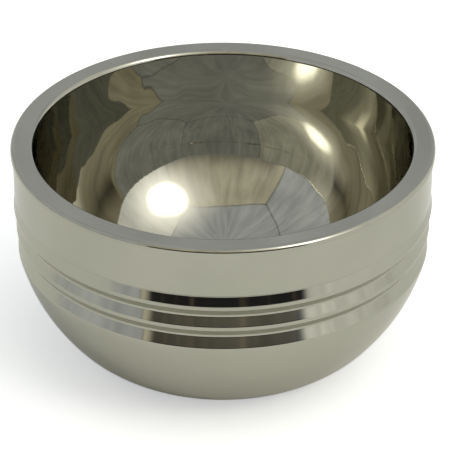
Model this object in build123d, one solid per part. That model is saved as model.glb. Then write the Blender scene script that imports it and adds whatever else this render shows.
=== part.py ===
from build123d import *
import math
import os

# Double-walled stainless steel shaving bowl, in millimetres.
# +Z is up and is the axis of the bowl. The origin is the centre of the face it rests on.

# Overall sizes
bowl_width = 102.0          # across the rim
bowl_height = 56.0          # from the resting face to the top of the rim

# Sheet
liner_sheet = 0.5           # thickness of the inner bowl's steel
shell_sheet = 0.5           # thickness of the outer shell's steel

# Rim, a flat flange of the inner bowl with its edge turned down over the shell
rim_flat = 3.4              # width of the flat, between its two roundings
lip_radius = 1.38           # rounding from the flat down into the dish
lip_end = 76.0              # degrees above level where the lip's rounding meets the flat
edge_round = 0.6            # inside radius of the turned-down edge
hem_length = 0.4            # straight part of the turned-down edge, below its rounding

# Dish, the inside of the bowl
floor_height = 4.0          # lowest point of the dish's floor, above the face the bowl rests on
corner_inset = 7.45         # distance from the axis to the centre of the curve below the straight wall
dish_crown = 80.0           # radius of the dished floor

# Outside of the shell
ring_count = 3              # raised rings below the plain band
band_height = 12.6          # plain band, from the rim's top to its foot
foot_round = 0.25           # radius under the plain band's foot and in the step's crease
step_in = 0.5               # how far the step under the band goes in
step_height = 0.35          # height of that step
first_flank = 3.0           # height of the first ring's sloping upper flank
first_rise = 0.92           # how far the first crest stands out from the step's crease
ring_pitch = 5.7            # from crest to crest
ring_flank = 3.1            # height of the other rings' upper flanks
ring_rise = 1.38            # how far the other crests stand out from the creases above them
crest_drop = 0.36           # how much smaller each crest is than the one above it
crest_round = 1.4           # radius over a crest
crease_round = 0.9          # radius in the creases between rings
side_start = 12.7           # degrees that the lower side leans in where it leaves the last ring
side_end = 39.0             # degrees that it leans in where the turn under the bowl begins
turn_radius = 24.8          # turn under the bowl, from the lower side to the flat base

# Sealing bead, hidden in the corner between the flange and the shell
seal_leg = 1.2              # width of the bead along the flange and its height down the wall

# Radii and heights that follow from the sizes above
rim_radius = bowl_width / 2
rim_top = bowl_height
edge_radius = liner_sheet + edge_round
shell_radius = rim_radius - liner_sheet
shell_top = rim_top - edge_radius
flange_under = rim_top - liner_sheet
lip_rise = lip_radius * math.sin(math.radians(lip_end))
lip_reach = lip_radius * math.cos(math.radians(lip_end))
lip_centre = (rim_radius - edge_radius - rim_flat + lip_reach, rim_top - lip_rise)
edge_centre = (rim_radius - edge_radius, rim_top - edge_radius)
dish_radius = lip_centre[0] - lip_radius
dish_corner = dish_radius - corner_inset


def on_circle(centre, radius, degrees):
    """Point at an angle on a circle, as (distance from the axis, height)."""
    turn = math.radians(degrees)
    return (centre[0] + radius * math.cos(turn), centre[1] + radius * math.sin(turn))


def arc(centre, radius, start, end):
    """Arc from one angle to another, in degrees."""
    return CenterArc(centre, radius, start, end - start)


def spun(section):
    """Solid of revolution about Z from half a section, drawn as (distance from the axis, height)."""
    return revolve(Plane.XZ * section, Axis.Z, 360)


def dish_curve(offset):
    """Floor, corner and wall of the dish, moved outwards by offset, from the axis up to the lip."""
    crown_centre = (0, floor_height + dish_crown)
    corner_x = dish_radius - dish_corner
    corner_z = crown_centre[1] - math.sqrt((dish_crown - dish_corner) ** 2 - corner_x**2)
    meet = math.degrees(math.atan2(corner_z - crown_centre[1], corner_x))
    return [
        arc(crown_centre, dish_crown + offset, -90, meet),
        arc((corner_x, corner_z), dish_corner + offset, meet, 0),
        Line((dish_radius + offset, corner_z), (dish_radius + offset, lip_centre[1])),
    ]


def make_inner_bowl():
    """Drawn liner with its flange and turned-down hem."""
    hem_end = edge_centre[1] - hem_length
    under_sine = (flange_under - lip_centre[1]) / (lip_radius - liner_sheet)
    under_end = math.degrees(math.asin(under_sine))
    under_reach = (lip_radius - liner_sheet) * math.sqrt(1 - under_sine**2)
    seen_side = dish_curve(0) + [
        arc(lip_centre, lip_radius, 180, 180 - lip_end),
        Line((lip_centre[0] - lip_reach, rim_top), (edge_centre[0], rim_top)),
        arc(edge_centre, edge_radius, 90, 0),
        Line((rim_radius, edge_centre[1]), (rim_radius, hem_end)),
        Line((rim_radius, hem_end), (shell_radius, hem_end)),
    ]
    hidden_side = dish_curve(liner_sheet) + [
        arc(lip_centre, lip_radius - liner_sheet, 180, 180 - under_end),
        Line((lip_centre[0] - under_reach, flange_under), (edge_centre[0], flange_under)),
        arc(edge_centre, edge_round, 90, 0),
        Line((shell_radius, edge_centre[1]), (shell_radius, hem_end)),
    ]
    on_axis = [Line((0, floor_height - liner_sheet), (0, floor_height))]
    return spun(make_face(seen_side + hidden_side + on_axis))


def shell_curve(inset):
    """Outside of the shell moved inwards by inset, from its lip to the axis.

    Returns its edges and its corners: the two at the step, the rings' crests, the creases between them.
    """
    step = [
        (shell_radius - inset, rim_top - band_height),
        (shell_radius - step_in - inset, rim_top - band_height - step_height),
    ]
    crests = []
    creases = []
    first_crest = (step[1][0] + first_rise, step[1][1] - first_flank)
    for i in range(ring_count):
        crest = (first_crest[0] - i * crest_drop, first_crest[1] - i * ring_pitch)
        if i > 0:
            creases.append((crest[0] - ring_rise, crest[1] + ring_flank))
        crests.append(crest)

    # The lower side and the turn under it are arcs that meet at side_end; the turn ends flat at the base.
    start_sine = math.sin(math.radians(side_start))
    end_sine = math.sin(math.radians(side_end))
    side_radius = (crests[-1][1] - turn_radius * (1 - end_sine)) / (end_sine - start_sine)
    side_centre = on_circle((crests[-1][0] + inset, crests[-1][1]), -side_radius, -side_start)
    turn_centre = on_circle(side_centre, side_radius - turn_radius, -side_end)
    crests[-1] = on_circle(side_centre, side_radius - inset, -side_start)

    path = [(shell_radius - inset, shell_top)] + step + crests[:1]
    for crease, crest in zip(creases, crests[1:]):
        path += [crease, crest]
    edges = [Line(start, end) for start, end in zip(path, path[1:])]
    edges.append(arc(side_centre, side_radius - inset, -side_start, -side_end))
    edges.append(arc(turn_centre, turn_radius - inset, -side_end, -90))
    edges.append(Line((turn_centre[0], inset), (0, inset)))
    return edges, step, crests, creases


def corners_at(section, points):
    """The section's corners that lie on the given points."""
    return [v for v in section.vertices() if any(math.dist((v.X, v.Y), p) < 0.01 for p in points)]


def make_outer_shell():
    """Drawn casing: lip, plain band, raised rings, lower side and flat base."""
    outside, step, crests, creases = shell_curve(0)
    inside, inner_step, inner_crests, inner_creases = shell_curve(shell_sheet)
    lip = [Line((shell_radius - shell_sheet, shell_top), (shell_radius, shell_top))]
    on_axis = [Line((0, 0), (0, shell_sheet))]
    section = make_face(outside + inside + lip + on_axis)
    section = fillet(corners_at(section, step + inner_step), foot_round)
    section = fillet(corners_at(section, crests), crest_round)
    section = fillet(corners_at(section, inner_crests), crest_round - shell_sheet)
    section = fillet(corners_at(section, creases), crease_round)
    section = fillet(corners_at(section, inner_creases), crease_round + shell_sheet)
    return spun(section)


def make_rim_seal():
    """Bead of sealing compound in the corner under the flange, against it and the shell's wall."""
    wall = shell_radius - shell_sheet
    under_flange = (edge_centre[0], flange_under)
    along_flange = (edge_centre[0] - seal_leg, flange_under)
    at_lip = (wall, shell_top)
    down_wall = (wall, shell_top - seal_leg)
    return spun(make_face(Polyline(along_flange, under_flange, at_lip, down_wall, close=True)))


os.makedirs("parts", exist_ok=True)
export_step(make_inner_bowl(), "parts/inner_bowl.step")
export_step(make_outer_shell(), "parts/outer_shell.step")
export_step(make_rim_seal(), "parts/rim_seal.step")
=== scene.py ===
import math

import bpy
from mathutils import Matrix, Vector, noise


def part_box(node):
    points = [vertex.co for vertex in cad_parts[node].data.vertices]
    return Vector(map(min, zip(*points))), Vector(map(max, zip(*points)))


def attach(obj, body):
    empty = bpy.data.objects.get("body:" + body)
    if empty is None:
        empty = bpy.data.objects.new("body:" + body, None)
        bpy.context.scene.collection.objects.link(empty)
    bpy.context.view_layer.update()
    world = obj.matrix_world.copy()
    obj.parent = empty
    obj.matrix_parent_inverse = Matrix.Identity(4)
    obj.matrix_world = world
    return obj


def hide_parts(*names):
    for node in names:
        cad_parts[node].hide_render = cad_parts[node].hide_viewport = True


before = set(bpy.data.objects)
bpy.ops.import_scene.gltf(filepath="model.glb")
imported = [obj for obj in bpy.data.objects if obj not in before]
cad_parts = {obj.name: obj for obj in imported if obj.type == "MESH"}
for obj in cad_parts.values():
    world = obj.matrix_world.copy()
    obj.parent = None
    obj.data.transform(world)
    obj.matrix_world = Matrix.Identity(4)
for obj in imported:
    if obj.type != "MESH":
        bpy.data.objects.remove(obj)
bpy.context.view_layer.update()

print("frame loaded:", ", ".join(sorted(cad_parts)))

mm = 0.001
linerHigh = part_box("inner_bowl")[1]
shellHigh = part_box("outer_shell")[1]
sealLow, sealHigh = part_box("rim_seal")
rimRadius = linerHigh[0] / mm
rimTop = linerHigh[2] / mm
shellTop = shellHigh[2] / mm
turnCount = 384              # corners round each turned piece


# profiles are strokes, each a list of (radius, height, tangent radius, tangent height) in mm
def straight(start, end, pieces=1):
    length = math.dist(start, end)
    tangent = ((end[0] - start[0]) / length, (end[1] - start[1]) / length)
    stroke = []
    for i in range(pieces + 1):
        share = i / pieces
        radius = start[0] + (end[0] - start[0]) * share
        height = start[1] + (end[1] - start[1]) * share
        stroke.append((radius, height) + tangent)
    return stroke


def bend(centre, radius, start, end, step=4.0):
    pieces = max(2, math.ceil(abs(end - start) / step))
    way = 1 if end > start else -1
    stroke = []
    for i in range(pieces + 1):
        angle = math.radians(start + (end - start) * i / pieces)
        c, s = math.cos(angle), math.sin(angle)
        stroke.append((centre[0] + radius * c, centre[1] + radius * s, -s * way, c * way))
    return stroke


def onCircle(centre, radius, degrees):
    angle = math.radians(degrees)
    return (centre[0] + radius * math.cos(angle), centre[1] + radius * math.sin(angle))


def crossing(a, b, c, d):
    # how far along a-b and along c-d the two lines meet, or None where they don't
    ab = (b[0] - a[0], b[1] - a[1])
    cd = (d[0] - c[0], d[1] - c[1])
    ac = (c[0] - a[0], c[1] - a[1])
    area = ab[0] * cd[1] - ab[1] * cd[0]
    if abs(area) < 1e-12:
        return None
    first = (ac[0] * cd[1] - ac[1] * cd[0]) / area
    second = (ac[0] * ab[1] - ac[1] * ab[0]) / area
    if 0 <= first <= 1 and 0 <= second <= 1:
        return first, second
    return None


def between(p, q, share):
    point = [a + (b - a) * share for a, b in zip(p, q)]
    size = math.hypot(point[2], point[3])
    return (point[0], point[1], point[2] / size, point[3] / size)


def moved(point, distance):
    # the point pushed to the left of its tangent
    return (point[0] - distance * point[3], point[1] + distance * point[2])


def rounded(before, after, radius, step=6.0):
    # both strokes cut back to an arc of this radius that touches them
    turnsLeft = before[-1][2] * after[0][3] - before[-1][3] * after[0][2] > 0
    push = radius if turnsLeft else -radius
    for i in range(len(before) - 2, -1, -1):
        for j in range(len(after) - 1):
            hit = crossing(moved(before[i], push), moved(before[i + 1], push),
                           moved(after[j], push), moved(after[j + 1], push))
            if hit:
                leave = between(before[i], before[i + 1], hit[0])
                join = between(after[j], after[j + 1], hit[1])
                centre = moved(leave, push)
                start = math.degrees(math.atan2(leave[1] - centre[1], leave[0] - centre[0]))
                end = math.degrees(math.atan2(join[1] - centre[1], join[0] - centre[0]))
                sweep = (end - start + 180) % 360 - 180
                corner = bend(centre, radius, start, start + sweep, step)
                return before[:i + 1] + [leave], corner, [join] + after[j + 1:]
    raise ValueError("the two strokes are too short for this rounding")


def backwards(strokes):
    return [[(p[0], p[1], -p[2], -p[3]) for p in reversed(stroke)] for stroke in reversed(strokes)]


def turned(name, strokes, ripple=None):
    # a piece spun round the axis; each face corner keeps the true normal of its own stroke
    rings = []
    bands = []
    for stroke in strokes:
        last = None
        for point in stroke:
            if not rings or math.dist(rings[-1][:2], point[:2]) > 1e-4:
                rings.append(point)
            here = (len(rings) - 1, point)
            if last and last[0] != here[0]:
                bands.append((last, here))
            last = here
    closes = math.dist(rings[0][:2], rings[-1][:2]) < 1e-4
    if closes:
        rings.pop()
    angles = [2 * math.pi * i / turnCount for i in range(turnCount)]

    verts = []
    ringVerts = []
    for point in rings:
        if point[0] < 1e-4:
            ringVerts.append([len(verts)] * turnCount)
            verts.append((0, 0, point[1] * mm))
            continue
        ringVerts.append(list(range(len(verts), len(verts) + turnCount)))
        for angle in angles:
            rise = ripple(angle, point[0], point[1]) if ripple else 0
            radius, height = moved(point, rise)
            verts.append((radius * math.cos(angle) * mm, radius * math.sin(angle) * mm, height * mm))

    def normalsOf(point):
        radius, height, tr, tz = point
        found = []
        small = 0.05
        for angle in angles:
            c, s = math.cos(angle), math.sin(angle)
            along = around = 0
            if ripple and radius > 0.5:
                along = (ripple(angle, radius + tr * small, height + tz * small)
                         - ripple(angle, radius - tr * small, height - tz * small)) / (2 * small)
                sweep = small / radius
                around = (ripple(angle + sweep, radius, height)
                          - ripple(angle - sweep, radius, height)) / (2 * small)
            nr = -tz - along * tr
            nz = tr - along * tz
            found.append(Vector((nr * c + around * s, nr * s - around * c, nz)).normalized())
        return found

    faces = []
    normals = []
    for (ringA, pointA), (ringB, pointB) in bands:
        a = ringVerts[ringA % len(rings)]
        b = ringVerts[ringB % len(rings)]
        normalsA = normalsOf(pointA)
        normalsB = normalsOf(pointB)
        for i in range(turnCount):
            k = (i + 1) % turnCount
            corners = [(a[i], normalsA[i]), (b[i], normalsB[i]), (b[k], normalsB[k]), (a[k], normalsA[k])]
            if a[i] == a[k]:
                corners.pop(3)
            if b[i] == b[k]:
                corners.pop(2)
            faces.append([corner[0] for corner in corners])
            normals.extend(corner[1] for corner in corners)

    mesh = bpy.data.meshes.new(name)
    mesh.from_pydata(verts, [], faces)
    mesh.shade_smooth()
    mesh.normals_split_custom_set(normals)
    piece = bpy.data.objects.new(name, mesh)
    bpy.context.scene.collection.objects.link(piece)
    print(name, "turned:", len(verts), "corners,", len(faces), "faces")
    return piece


# material helpers
def newMaterial(name):
    material = bpy.data.materials.new(name)
    material.use_nodes = True
    tree = material.node_tree
    tree.nodes.clear()
    output = tree.nodes.new("ShaderNodeOutputMaterial")
    shader = tree.nodes.new("ShaderNodeBsdfPrincipled")
    tree.links.new(shader.outputs["BSDF"], output.inputs["Surface"])
    return material, tree, shader


def plug(tree, socket, value):
    if isinstance(value, (int, float, tuple)):
        socket.default_value = value
    else:
        tree.links.new(value, socket)


def calc(tree, how, a, b=0.0):
    node = tree.nodes.new("ShaderNodeMath")
    node.operation = how
    plug(tree, node.inputs[0], a)
    plug(tree, node.inputs[1], b)
    return node.outputs[0]


def fade(tree, value, low, high, toLow=0.0, toHigh=1.0):
    node = tree.nodes.new("ShaderNodeMapRange")
    node.interpolation_type = "SMOOTHSTEP"
    plug(tree, node.inputs["Value"], value)
    plug(tree, node.inputs["From Min"], low)
    plug(tree, node.inputs["From Max"], high)
    plug(tree, node.inputs["To Min"], toLow)
    plug(tree, node.inputs["To Max"], toHigh)
    return node.outputs["Result"]


def blend(tree, share, a, b):
    node = tree.nodes.new("ShaderNodeMix")
    node.data_type = "RGBA"
    plug(tree, node.inputs[0], share)
    plug(tree, node.inputs[6], a)
    plug(tree, node.inputs[7], b)
    return node.outputs[2]


def grain(tree, place, scale, detail=2.0, roughness=0.5):
    node = tree.nodes.new("ShaderNodeTexNoise")
    plug(tree, node.inputs["Vector"], place)
    node.inputs["Scale"].default_value = scale
    node.inputs["Detail"].default_value = detail
    node.inputs["Roughness"].default_value = roughness
    return node.outputs["Fac"]


def combine(tree, x, y, z):
    node = tree.nodes.new("ShaderNodeCombineXYZ")
    plug(tree, node.inputs[0], x)
    plug(tree, node.inputs[1], y)
    plug(tree, node.inputs[2], z)
    return node.outputs[0]


def bumped(tree, height, distance, strength=1.0):
    node = tree.nodes.new("ShaderNodeBump")
    node.inputs["Strength"].default_value = strength
    node.inputs["Distance"].default_value = distance
    plug(tree, node.inputs["Height"], height)
    return node.outputs["Normal"]


def polishedSteel(name, look):
    material, tree, shader = newMaterial(name)
    coords = tree.nodes.new("ShaderNodeTexCoord").outputs["Object"]
    split = tree.nodes.new("ShaderNodeSeparateXYZ")
    tree.links.new(coords, split.inputs[0])
    x, y, z = split.outputs
    squares = calc(tree, "ADD", calc(tree, "MULTIPLY", x, x), calc(tree, "MULTIPLY", y, y))
    radius = calc(tree, "SQRT", squares)
    safeRadius = calc(tree, "MAXIMUM", radius, 0.0005)       # never quite on the axis
    cosine = calc(tree, "DIVIDE", x, safeRadius)
    sine = calc(tree, "DIVIDE", y, safeRadius)
    along = calc(tree, "ADD", radius, z)

    # turning lines run round the bowl: slow round it, quick across it
    reach = look["lineReach"]
    roundBowl = combine(tree, calc(tree, "MULTIPLY", cosine, reach), calc(tree, "MULTIPLY", sine, reach),
                        calc(tree, "MULTIPLY", along, look["linesPerMetre"]))
    lines = grain(tree, roundBowl, 1.0, 3.0, 0.6)
    cloth = grain(tree, coords, look["smudgeScale"], 3.0, 0.55)
    pits = grain(tree, coords, look["pitScale"], 2.0, 0.5)

    tint = fade(tree, cloth, 0.3, 0.7)
    plug(tree, shader.inputs["Base Color"], blend(tree, tint, look["steel"], look["steelShade"]))
    rough = calc(tree, "ADD", fade(tree, cloth, 0.35, 0.75, look["roughLow"], look["roughHigh"]),
                 calc(tree, "MULTIPLY", lines, look["lineRough"]))
    plug(tree, shader.inputs["Roughness"], rough)
    shader.inputs["Metallic"].default_value = 1.0
    height = calc(tree, "ADD", calc(tree, "MULTIPLY", lines, look["lineDepth"]),
                  calc(tree, "MULTIPLY", pits, look["pitDepth"]))
    plug(tree, shader.inputs["Normal"], bumped(tree, height, 1.0))
    return material


def paint(piece, material):
    piece.data.materials.clear()
    piece.data.materials.append(material)


def settle(piece, node):
    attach(piece, "root")
    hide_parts(node)


# the camera
cameraPlace = {
    "distance": 0.600,       # from the centre of the rim's top
    "elevation": 29.36,      # degrees above the rim
    "lens": 199.8,
    "aimSide": 0.0005,
    "aimShare": 0.564,       # height of the aim as a share of the bowl's height
}
camera = bpy.data.objects.new("camera", bpy.data.cameras.new("camera"))
bpy.context.scene.collection.objects.link(camera)
bpy.context.scene.camera = camera
camera.data.lens = cameraPlace["lens"]
camera.data.clip_start = 0.01
camera.data.clip_end = 20.0
raised = math.radians(cameraPlace["elevation"])
camera.location = Vector((0, -math.cos(raised) * cameraPlace["distance"],
                          linerHigh[2] + math.sin(raised) * cameraPlace["distance"]))
aim = Vector((cameraPlace["aimSide"], 0, linerHigh[2] * cameraPlace["aimShare"]))
camera.rotation_euler = (aim - camera.location).to_track_quat("-Z", "Y").to_euler()
print("camera placed")


# inner bowl: dish, rounded lip, flat rim and the edge folded over the shell
inner = {
    "sheet": 0.5,
    "rimFlat": 3.4,
    "lipRadius": 1.38,
    "lipEnd": 76.0,          # degrees above level where the lip meets the flat
    "foldRadius": 0.6,       # inside the folded edge
    "foldLength": 0.4,       # its straight part below the rounding
    "floorHeight": 4.0,
    "cornerInset": 7.45,     # from the axis to the centre of the curve below the straight wall
    "dishCrown": 80.0,
    "rippleLong": 10.0,      # the drawn wall waves in and out: length and height of the waves
    "rippleHeight": 0.08,
    "rippleShort": 5.0,
    "rippleFine": 0.025,
    "rippleStretch": 0.4,    # below 1 the waves are longer up the wall than round it
    "calmLip": 0.97,         # share of the depth above which the wall is true
    "calmBelow": 0.12,       # and how gradually it becomes so
    "calmMiddle": 24.0,      # the floor is truer inside this radius
    "steel": {
        "steel": (0.46, 0.454, 0.392, 1),
        "steelShade": (0.42, 0.413, 0.352, 1),
        "roughLow": 0.008,
        "roughHigh": 0.03,
        "lineRough": 0.02,
        "lineReach": 3.0,
        "linesPerMetre": 2600.0,
        "lineDepth": 0.0000012,
        "smudgeScale": 45.0,
        "pitScale": 900.0,
        "pitDepth": 0.0000008,
    },
}


def dishStrokes(sizes, offset, step):
    lipEnd = math.radians(sizes["lipEnd"])
    flatStart = rimRadius - sizes["sheet"] - sizes["foldRadius"] - sizes["rimFlat"]
    lip = sizes["lipRadius"]
    lipCentre = (flatStart + lip * math.cos(lipEnd), rimTop - lip * math.sin(lipEnd))
    lipTurn = sizes["lipEnd"]
    if offset:
        lipTurn = math.degrees(math.asin((rimTop - offset - lipCentre[1]) / (lip - offset)))
    wall = lipCentre[0] - lip
    crownCentre = (0, sizes["floorHeight"] + sizes["dishCrown"])
    cornerX = sizes["cornerInset"]
    corner = wall - cornerX
    cornerZ = crownCentre[1] - math.sqrt((sizes["dishCrown"] - corner) ** 2 - cornerX ** 2)
    meet = math.degrees(math.atan2(cornerZ - crownCentre[1], cornerX))
    return [
        bend(crownCentre, sizes["dishCrown"] + offset, -90, meet, step),
        bend((cornerX, cornerZ), corner + offset, meet, 0, step),
        straight((wall + offset, cornerZ), (wall + offset, lipCentre[1]), 8),
        bend(lipCentre, lip - offset, 180, 180 - lipTurn, 5),
    ]


def innerBowl(sizes):
    foldOuter = sizes["sheet"] + sizes["foldRadius"]
    foldCentre = (rimRadius - foldOuter, rimTop - foldOuter)
    flatStart = foldCentre[0] - sizes["rimFlat"]
    hemEnd = foldCentre[1] - sizes["foldLength"]
    under = rimTop - sizes["sheet"]
    shellSide = rimRadius - sizes["sheet"]
    seen = dishStrokes(sizes, 0, 1.5) + [
        straight((flatStart, rimTop), (foldCentre[0], rimTop), 4),
        bend(foldCentre, foldOuter, 90, 0, 6),
        straight((rimRadius, foldCentre[1]), (rimRadius, hemEnd), 2),
        straight((rimRadius, hemEnd), (shellSide, hemEnd)),
    ]
    hidden = [
        straight((shellSide, hemEnd), (shellSide, foldCentre[1]), 2),
        bend(foldCentre, sizes["foldRadius"], 0, 90, 15),
    ]
    lining = backwards(dishStrokes(sizes, sizes["sheet"], 5))
    hidden.append(straight((foldCentre[0], under), lining[0][0][:2], 2))
    hidden += lining
    floor = sizes["floorHeight"]

    def ripple(angle, radius, height):
        # the drawn wall waves a little, less at the lip and in the middle of the floor
        share = (height - floor) / (rimTop - floor)
        if share >= sizes["calmLip"] or share <= 0:
            return 0.0
        window = min(1.0, (sizes["calmLip"] - share) / sizes["calmBelow"])
        window *= min(1.0, radius / sizes["calmMiddle"])
        spot = Vector((radius * math.cos(angle), radius * math.sin(angle), height * sizes["rippleStretch"]))
        wave = noise.noise(spot / sizes["rippleLong"]) * sizes["rippleHeight"]
        wave += noise.noise(spot / sizes["rippleShort"]) * sizes["rippleFine"]
        return window * wave

    piece = turned("innerBowl", seen + hidden, ripple)
    paint(piece, polishedSteel("turnedDishSteel", sizes["steel"]))
    settle(piece, "inner_bowl")


innerBowl(inner)


# outer shell: plain band, three raised rings, rounded lower side and flat base
outer = {
    "sheet": 0.5,
    "ringCount": 3,
    "bandHeight": 12.6,      # plain band, down to its foot
    "footRound": 0.25,
    "stepIn": 0.5,           # the small step in under the band
    "stepHeight": 0.35,
    "firstFlank": 3.0,       # height of the first ring's upper flank
    "firstRise": 0.92,       # how far it stands out over that height
    "ringPitch": 5.7,
    "ringFlank": 3.1,
    "ringRise": 1.38,
    "crestDrop": 0.36,
    "crestRound": 1.4,
    "creaseRound": 0.9,
    "sideStart": 12.7,       # degrees of lean where the lower side starts and ends
    "sideEnd": 39.0,
    "turnRadius": 24.8,      # turn under the bowl
    "steel": {
        "steel": (0.46, 0.454, 0.392, 1),
        "steelShade": (0.435, 0.433, 0.37, 1),
        "roughLow": 0.03,
        "roughHigh": 0.07,
        "lineRough": 0.04,
        "lineReach": 3.0,
        "linesPerMetre": 2600.0,
        "lineDepth": 0.0000015,
        "smudgeScale": 40.0,
        "pitScale": 900.0,
        "pitDepth": 0.000001,
    },
}


def shellStrokes(sizes, inset, coarse=1):
    shellRadius = rimRadius - inner["sheet"]
    foot = rimTop - sizes["bandHeight"]
    stepEnd = (shellRadius - sizes["stepIn"] - inset, foot - sizes["stepHeight"])
    corners = [(shellRadius - inset, foot), stepEnd]
    rounds = [sizes["footRound"]] * 2
    for i in range(sizes["ringCount"]):
        crest = stepEnd[0] + sizes["firstRise"] - i * sizes["crestDrop"]
        height = stepEnd[1] - sizes["firstFlank"] - i * sizes["ringPitch"]
        if i > 0:
            corners.append((crest - sizes["ringRise"], height + sizes["ringFlank"]))
            rounds.append(sizes["creaseRound"])
        corners.append((crest, height))
        rounds.append(sizes["crestRound"])

    # lower side and the turn under it: two arcs that end flat at the base
    turn = sizes["turnRadius"]
    startSine = math.sin(math.radians(sizes["sideStart"]))
    endSine = math.sin(math.radians(sizes["sideEnd"]))
    side = (corners[-1][1] - turn * (1 - endSine)) / (endSine - startSine)
    sideCentre = onCircle((corners[-1][0] + inset, corners[-1][1]), -side, -sizes["sideStart"])
    turnCentre = onCircle(sideCentre, side - turn, -sizes["sideEnd"])
    corners[-1] = onCircle(sideCentre, side - inset, -sizes["sideStart"])

    strokes = [straight((shellRadius - inset, shellTop), corners[0], 3)]
    following = [straight(a, b, 2) for a, b in zip(corners, corners[1:])]
    following.append(bend(sideCentre, side - inset, -sizes["sideStart"], -sizes["sideEnd"], 1.5 * coarse))
    for stroke, radius in zip(following, rounds):
        strokes[-1:] = rounded(strokes[-1], stroke, radius, 6 * coarse)
    strokes.append(bend(turnCentre, turn - inset, -sizes["sideEnd"], -90, 2.5 * coarse))
    strokes.append(straight((turnCentre[0], inset), (0, inset), 3))
    return strokes


def outerShell(sizes):
    outside = shellStrokes(sizes, 0)
    inside = backwards(shellStrokes(sizes, sizes["sheet"], 3))
    shellRadius = rimRadius - inner["sheet"]
    lip = straight((shellRadius - sizes["sheet"], shellTop), (shellRadius, shellTop))
    piece = turned("outerShell", [lip] + outside + inside)
    paint(piece, polishedSteel("buffedShellSteel", sizes["steel"]))
    settle(piece, "outer_shell")


outerShell(outer)


# sealing bead, hidden in the corner under the rim
seal = {
    "slump": 0.25,           # about how far the bead's free face sinks in
    "colour": (0.11, 0.11, 0.105, 1),
    "colourWorn": (0.17, 0.165, 0.155, 1),
    "patchScale": 300.0,
    "roughLow": 0.55,
    "roughHigh": 0.75,
    "poreScale": 1500.0,
    "poreDepth": 0.0001,
    "poreStrength": 0.4,
}


def sealMaterial(sizes):
    material, tree, shader = newMaterial("curedSealant")
    coords = tree.nodes.new("ShaderNodeTexCoord").outputs["Object"]
    patches = grain(tree, coords, sizes["patchScale"], 3.0)
    worn = fade(tree, patches, 0.35, 0.7)
    plug(tree, shader.inputs["Base Color"], blend(tree, worn, sizes["colour"], sizes["colourWorn"]))
    rough = fade(tree, patches, 0.3, 0.7, sizes["roughLow"], sizes["roughHigh"])
    plug(tree, shader.inputs["Roughness"], rough)
    pores = grain(tree, coords, sizes["poreScale"], 3.0)
    plug(tree, shader.inputs["Normal"], bumped(tree, pores, sizes["poreDepth"], sizes["poreStrength"]))
    return material


def rimSeal(sizes):
    wall = rimRadius - inner["sheet"] - outer["sheet"]
    underFlange = (sealHigh[0] / mm, sealHigh[2] / mm)
    downWall = (wall, sealLow[2] / mm)
    leg = shellTop - downWall[1]
    alongFlange = (underFlange[0] - leg, underFlange[1])
    across = math.dist(alongFlange, downWall)
    # the free face sinks in, so the centre it is rounded from lies outside the bead
    away = (across ** 2 / 4 + sizes["slump"] ** 2) / (2 * sizes["slump"])
    face = ((downWall[0] - alongFlange[0]) / across, (downWall[1] - alongFlange[1]) / across)
    middle = ((alongFlange[0] + downWall[0]) / 2, (alongFlange[1] + downWall[1]) / 2)
    centre = (middle[0] + face[1] * away, middle[1] - face[0] * away)
    start = math.degrees(math.atan2(downWall[1] - centre[1], downWall[0] - centre[0]))
    end = math.degrees(math.atan2(alongFlange[1] - centre[1], alongFlange[0] - centre[0]))
    hollow = math.dist(centre, downWall)
    strokes = [
        straight(alongFlange, underFlange, 2),
        straight(underFlange, (wall, shellTop), 2),
        straight((wall, shellTop), downWall, 2),
        bend(centre, hollow, start, start + (end - start + 180) % 360 - 180, 5),
    ]
    piece = turned("rimSeal", strokes)
    paint(piece, sealMaterial(sizes))
    settle(piece, "rim_seal")


rimSeal(seal)


# floor
floorLook = {
    "reach": 4.0,
    "front": 0.5,            # to the table's near edge
    "pale": (0.80, 0.80, 0.76, 1),
    "paler": (0.84, 0.84, 0.80, 1),
    "mottleScale": 6.0,
    "rough": 0.8,
    "gleam": 0.2,
    "lift": 0.45,            # how much whiter the paper looks straight on than in the steel
    "liftTint": (0.93, 0.95, 1, 1),
}


def makeFloor(sizes):
    reach = sizes["reach"]
    mesh = bpy.data.meshes.new("floor")
    near = -sizes["front"]
    corners = [(-reach, near, 0), (reach, near, 0), (reach, reach, 0), (-reach, reach, 0)]
    mesh.from_pydata(corners, [], [(0, 1, 2, 3)])
    floor = bpy.data.objects.new("floor", mesh)
    bpy.context.scene.collection.objects.link(floor)
    material, tree, shader = newMaterial("paperFloor")
    coords = tree.nodes.new("ShaderNodeTexCoord").outputs["Object"]
    mottle = fade(tree, grain(tree, coords, sizes["mottleScale"], 3.0), 0.3, 0.7)
    plug(tree, shader.inputs["Base Color"], blend(tree, mottle, sizes["pale"], sizes["paler"]))
    shader.inputs["Roughness"].default_value = sizes["rough"]
    shader.inputs["Specular IOR Level"].default_value = sizes["gleam"]
    seen = tree.nodes.new("ShaderNodeLightPath").outputs["Is Camera Ray"]
    shader.inputs["Emission Color"].default_value = sizes["liftTint"]
    plug(tree, shader.inputs["Emission Strength"], calc(tree, "MULTIPLY", seen, sizes["lift"]))
    floor.data.materials.append(material)


makeFloor(floorLook)
print("floor laid")


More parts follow.
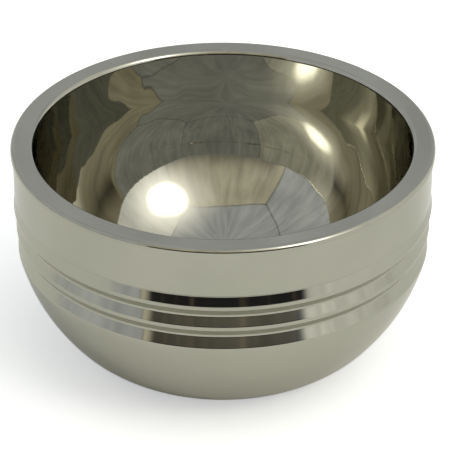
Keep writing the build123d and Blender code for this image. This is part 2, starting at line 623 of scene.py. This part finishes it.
# studio: a pale cloth tent with its front open low down, and a lamp behind the right-hand cloth
tent = {
    "leftWall": 0.90,        # distances of the walls and the roof from the bowl, front wall at 1
    "rightWall": 0.80,
    "backWall": 0.81,
    "roof": 1.61,
    "seam": 0.018,
    "seamShade": 0.5,
    "edgeSoft": 0.005,       # how softly one cloth gives way to the next
    "sideSoft": 0.02,
    "creaseReach": 7.0,      # creases: how close together round the tent, and how long
    "creaseRise": 1.5,
    "creaseScale": 1.6,
    "creaseShade": 0.18,     # how much paler and darker they are than the cloth
    "patchScale": 2.2,
    "patchShade": 0.1,
    "roofCloth": (0.53, 0.55, 0.57, 1),
    "frontCloth": (0.63, 0.59, 0.46, 1),
    "leftCloth": (0.58, 0.60, 0.62, 1),
    "rightCloth": (0.85, 0.85, 0.80, 1),
    "backCloth": (0.53, 0.55, 0.57, 1),
    "opening": (0.02, 0.02, 0.022, 1),
    "openingThings": (0.11, 0.085, 0.06, 1),
    "openingLeft": -38.0,    # degrees round from the front
    "openingRight": 42.0,
    "openingSoft": 2.5,
    "thingsApart": 9.0,      # the dim upright things standing in it: a higher value is closer together
    "openingDark": 6.0,      # degrees up where the opening starts to pale
    "openingPale": 33.0,
    "lampTurn": 49.0,
    "lampRise": 43.0,
    "lampCore": 9.0,
    "lampHalo": 44.0,
    "lampGlow": (7.0, 6.8, 6.6, 1),
    "haloGlow": (2.6, 2.55, 2.4, 1),
    "fillPower": 8.3,
    "fillSize": 1.6,
    "fillPlace": (0.45, -0.1, 1.7),
    "backdrop": (1.0, 1.0, 1.0, 1),
}


def studioTent(sizes):
    world = bpy.data.worlds.new("studioTent")
    bpy.context.scene.world = world
    world.use_nodes = True
    tree = world.node_tree
    tree.nodes.clear()
    output = tree.nodes.new("ShaderNodeOutputWorld")
    light = tree.nodes.new("ShaderNodeBackground")
    tree.links.new(light.outputs[0], output.inputs["Surface"])
    direction = tree.nodes.new("ShaderNodeTexCoord").outputs["Generated"]
    split = tree.nodes.new("ShaderNodeSeparateXYZ")
    tree.links.new(direction, split.inputs[0])
    x, y, z = split.outputs
    turn = calc(tree, "ARCTAN2", x, calc(tree, "MULTIPLY", y, -1.0))
    elevation = calc(tree, "ARCSINE", z)

    # how soon a straight line that way meets each cloth: the largest is the one it meets
    toRight = calc(tree, "DIVIDE", x, sizes["rightWall"])
    toLeft = calc(tree, "DIVIDE", x, -sizes["leftWall"])
    toBack = calc(tree, "DIVIDE", y, sizes["backWall"])
    toFront = calc(tree, "MULTIPLY", y, -1.0)
    toRoof = calc(tree, "DIVIDE", z, sizes["roof"])
    sideways = calc(tree, "MAXIMUM", toRight, toLeft)
    lengthways = calc(tree, "MAXIMUM", toBack, toFront)
    anyWall = calc(tree, "MAXIMUM", sideways, lengthways)
    soft = sizes["sideSoft"]
    sides = blend(tree, fade(tree, x, -soft, soft), sizes["leftCloth"], sizes["rightCloth"])
    ends = blend(tree, fade(tree, y, -soft, soft), sizes["frontCloth"], sizes["backCloth"])
    cornerGap = calc(tree, "SUBTRACT", sideways, lengthways)
    roofGap = calc(tree, "SUBTRACT", toRoof, anyWall)
    soft = sizes["edgeSoft"]
    walls = blend(tree, fade(tree, cornerGap, -soft, soft), ends, sides)
    cloth = blend(tree, fade(tree, roofGap, -soft, soft), walls, sizes["roofCloth"])

    # sewn seams where two cloths meet, and creases hanging from the roof
    wallSeam = fade(tree, calc(tree, "ABSOLUTE", cornerGap), 0.0, sizes["seam"], sizes["seamShade"], 1.0)
    wallSeam = calc(tree, "MAXIMUM", wallSeam, fade(tree, roofGap, 0.0, 2 * soft))      # not on the roof
    roofSeam = fade(tree, calc(tree, "ABSOLUTE", roofGap), 0.0, sizes["seam"], sizes["seamShade"], 1.0)
    roundTent = combine(tree, calc(tree, "MULTIPLY", calc(tree, "COSINE", turn), sizes["creaseReach"]),
                        calc(tree, "MULTIPLY", calc(tree, "SINE", turn), sizes["creaseReach"]),
                        calc(tree, "MULTIPLY", elevation, sizes["creaseRise"]))
    creases = fade(tree, grain(tree, roundTent, sizes["creaseScale"], 4.0, 0.6), 0.25, 0.75,
                   1 - sizes["creaseShade"], 1 + sizes["creaseShade"])
    patches = fade(tree, grain(tree, direction, sizes["patchScale"], 2.0), 0.3, 0.7,
                   1 - sizes["patchShade"], 1 + sizes["patchShade"])
    seams = calc(tree, "MULTIPLY", wallSeam, roofSeam)
    shade = calc(tree, "MULTIPLY", seams, calc(tree, "MULTIPLY", creases, patches))
    shaded = tree.nodes.new("ShaderNodeVectorMath")
    shaded.operation = "SCALE"
    tree.links.new(cloth, shaded.inputs[0])
    tree.links.new(shade, shaded.inputs["Scale"])

    # the dark opening with a few dim upright things standing in it
    soft = math.radians(sizes["openingSoft"])
    left = math.radians(sizes["openingLeft"])
    right = math.radians(sizes["openingRight"])
    pastLeft = fade(tree, turn, left - soft, left + soft)
    beforeRight = fade(tree, turn, right + soft, right - soft)
    inTurn = calc(tree, "MULTIPLY", pastLeft, beforeRight)
    inRise = fade(tree, elevation, math.radians(sizes["openingPale"]), math.radians(sizes["openingDark"]))
    upright = combine(tree, calc(tree, "MULTIPLY", turn, sizes["thingsApart"]), 0.0, elevation)
    things = fade(tree, grain(tree, upright, 1.0, 2.0), 0.52, 0.72)
    dark = blend(tree, things, sizes["opening"], sizes["openingThings"])
    opened = blend(tree, calc(tree, "MULTIPLY", inTurn, inRise), shaded.outputs[0], dark)

    lampTurn = math.radians(sizes["lampTurn"])
    lampRise = math.radians(sizes["lampRise"])
    level = math.cos(lampRise)
    lampAt = (math.sin(lampTurn) * level, -math.cos(lampTurn) * level, math.sin(lampRise))
    facing = tree.nodes.new("ShaderNodeVectorMath")
    facing.operation = "DOT_PRODUCT"
    tree.links.new(direction, facing.inputs[0])
    facing.inputs[1].default_value = lampAt
    away = calc(tree, "ARCCOSINE", facing.outputs["Value"])
    core = math.radians(sizes["lampCore"])
    core = fade(tree, away, core * 1.6, core * 0.4)
    halo = calc(tree, "POWER", fade(tree, away, math.radians(sizes["lampHalo"]), 0.0), 2.0)
    glowing = blend(tree, halo, opened, sizes["haloGlow"])
    lit = blend(tree, core, glowing, sizes["lampGlow"])
    seen = tree.nodes.new("ShaderNodeLightPath").outputs["Is Camera Ray"]
    plug(tree, light.inputs["Color"], blend(tree, seen, lit, sizes["backdrop"]))


studioTent(tent)


def fillLamp(sizes):
    data = bpy.data.lights.new("fillLamp", "AREA")
    data.shape = "DISK"
    data.size = sizes["fillSize"]
    data.energy = sizes["fillPower"]
    lamp = bpy.data.objects.new("fillLamp", data)
    bpy.context.scene.collection.objects.link(lamp)
    lamp.location = sizes["fillPlace"]
    lamp.rotation_euler = (Vector((0, 0, 0)) - lamp.location).to_track_quat("-Z", "Y").to_euler()
    lamp.visible_glossy = False


fillLamp(tent)
bpy.context.scene.view_settings.view_transform = "Standard"
# steel faces steel in the dish, so light goes back and forth many times
bpy.context.scene.cycles.glossy_bounces = 10
print("studio lit")
